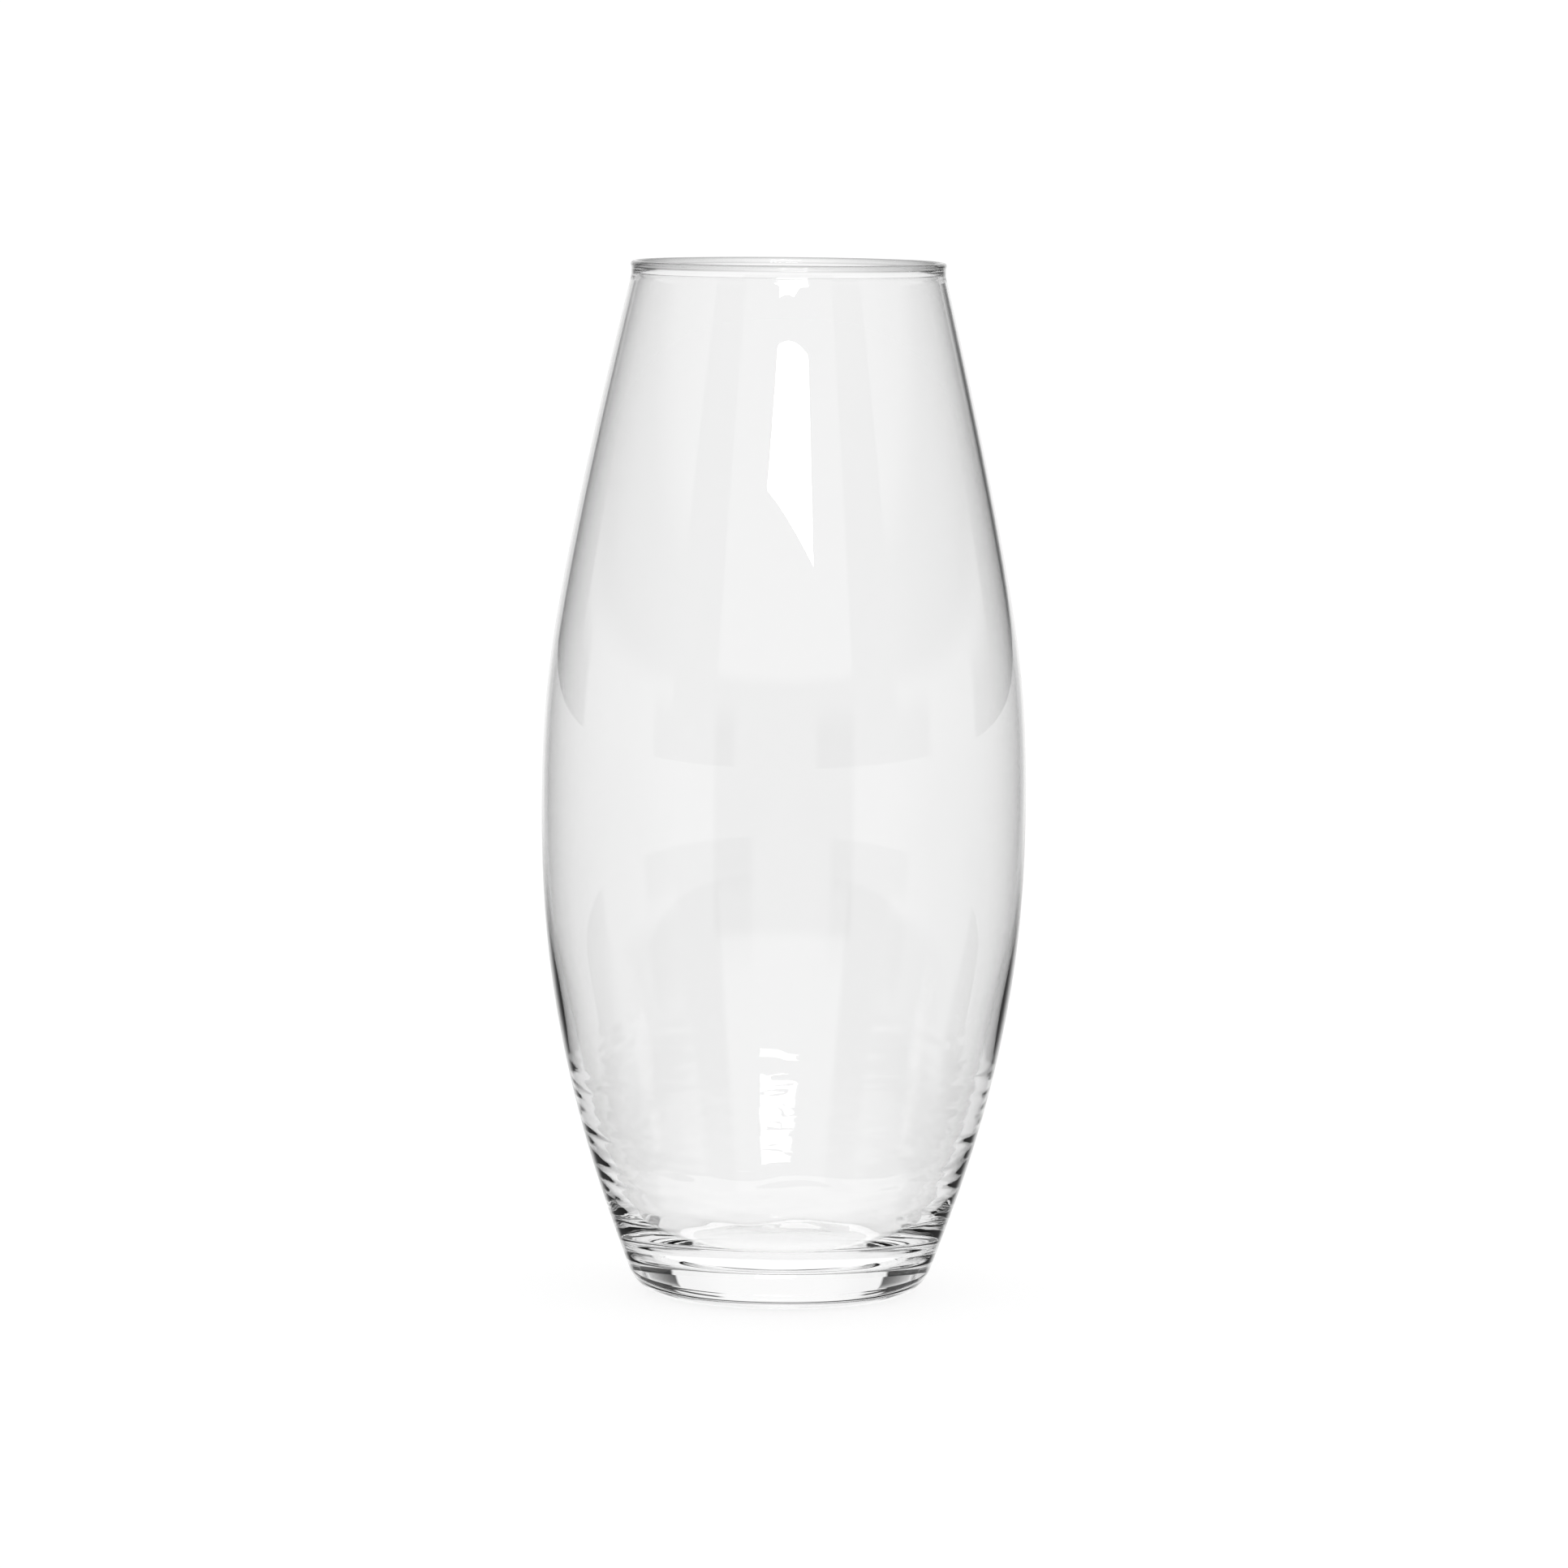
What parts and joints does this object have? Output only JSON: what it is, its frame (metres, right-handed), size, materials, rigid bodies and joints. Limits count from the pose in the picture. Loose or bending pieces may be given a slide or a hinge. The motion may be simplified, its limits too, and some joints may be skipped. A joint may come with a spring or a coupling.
{
  "type": "flower vase",
  "caption": "Tall barrel-shaped clear glass vase with a solid heavy base, a wall that thins upwards and a rounded, fire-polished mouth.",
  "frame": {"origin": "centre of the resting ring, on the surface the vase stands on", "axes": "+Z is the vase's axis and points up out of the mouth; X and Y are free, because the vase is round"},
  "size_m": [0.1406, 0.1406, 0.3],
  "materials": {
    "clear_glass": "clear colourless soda-lime glass, blown and fire polished, gloss inside and out"
  },
  "bodies": {
    "root": {"vase_body": "clear_glass"}
  },
  "joints": []
}
